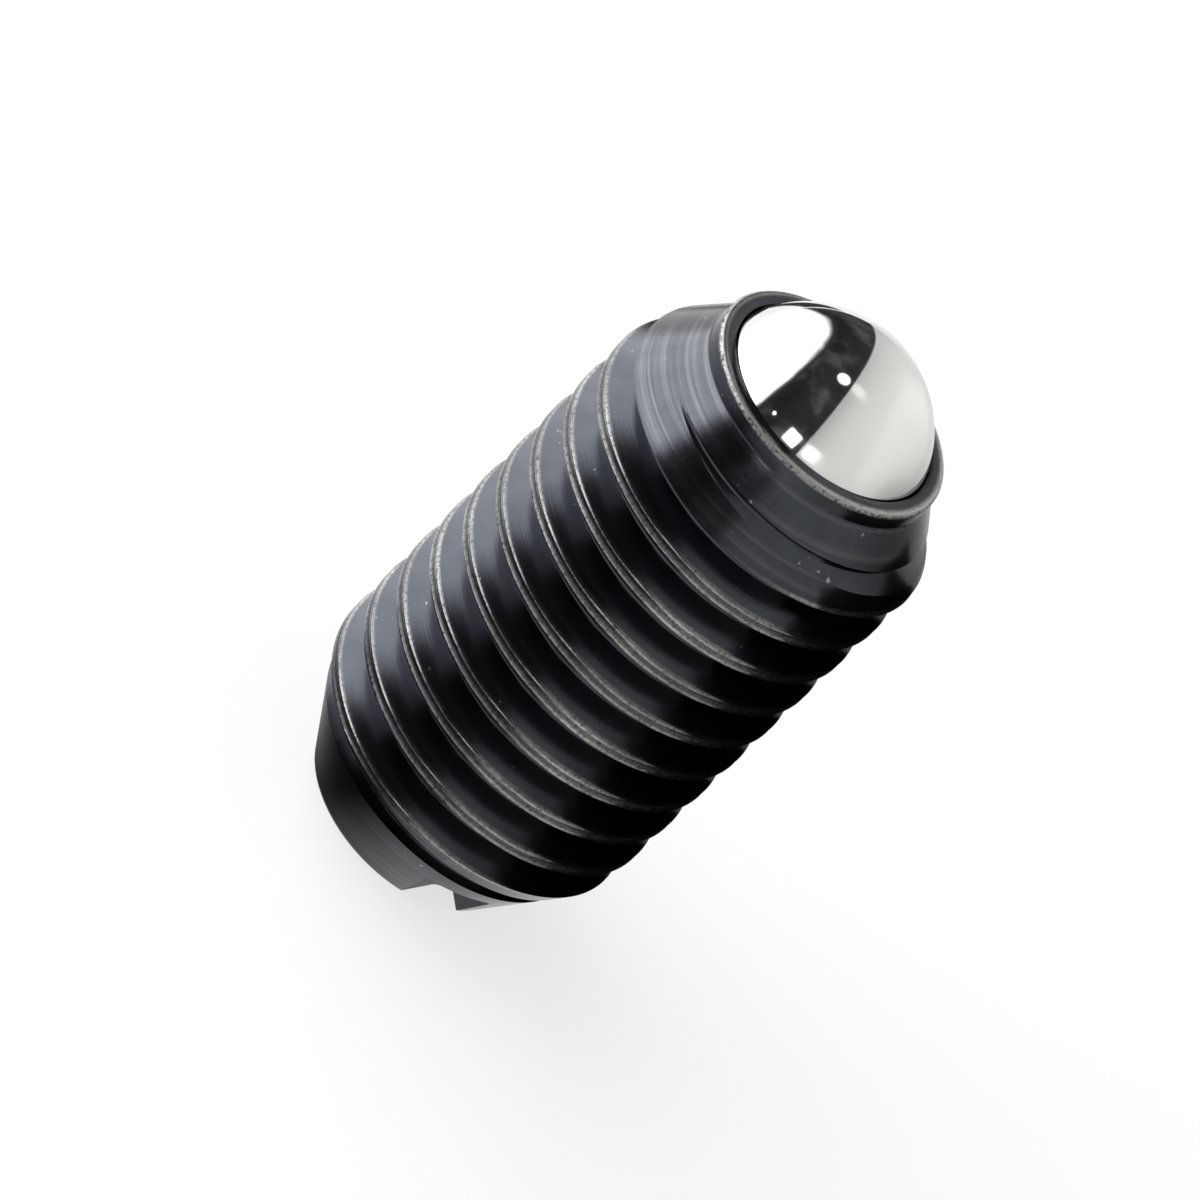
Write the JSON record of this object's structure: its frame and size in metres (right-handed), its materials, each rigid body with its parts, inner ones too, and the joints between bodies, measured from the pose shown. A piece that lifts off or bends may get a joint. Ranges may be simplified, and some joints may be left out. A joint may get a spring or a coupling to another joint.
{
  "type": "ball spring plunger",
  "caption": "Slotted ball spring plunger: a threaded sleeve with a spring-loaded ball held in its crimped nose, used to detent or locate a sliding part.",
  "frame": {"origin": "centre of the rear face, where the plunger stands", "axes": "+Z along the axis towards the ball, X along the screwdriver slot"},
  "size_m": [0.0118, 0.0118, 0.0245],
  "materials": {
    "black_steel": "black oxide on turned steel, satin, worn bright along the rim",
    "bearing_steel": "mirror polished",
    "spring_steel": "plain drawn spring wire"
  },
  "bodies": {
    "sleeve": {"threaded_body": "black_steel", "spring": "spring_steel"},
    "ball": {"ball": "bearing_steel"}
  },
  "joints": [
    {"name": "ball_press", "type": "slide", "parent": "sleeve", "child": "ball", "axis": [0, 0, 1], "range_m": [-0.0025, 0], "stiffness_N_per_m": 9200, "springref_m": 0.0024, "deforming": ["spring"]}
  ]
}
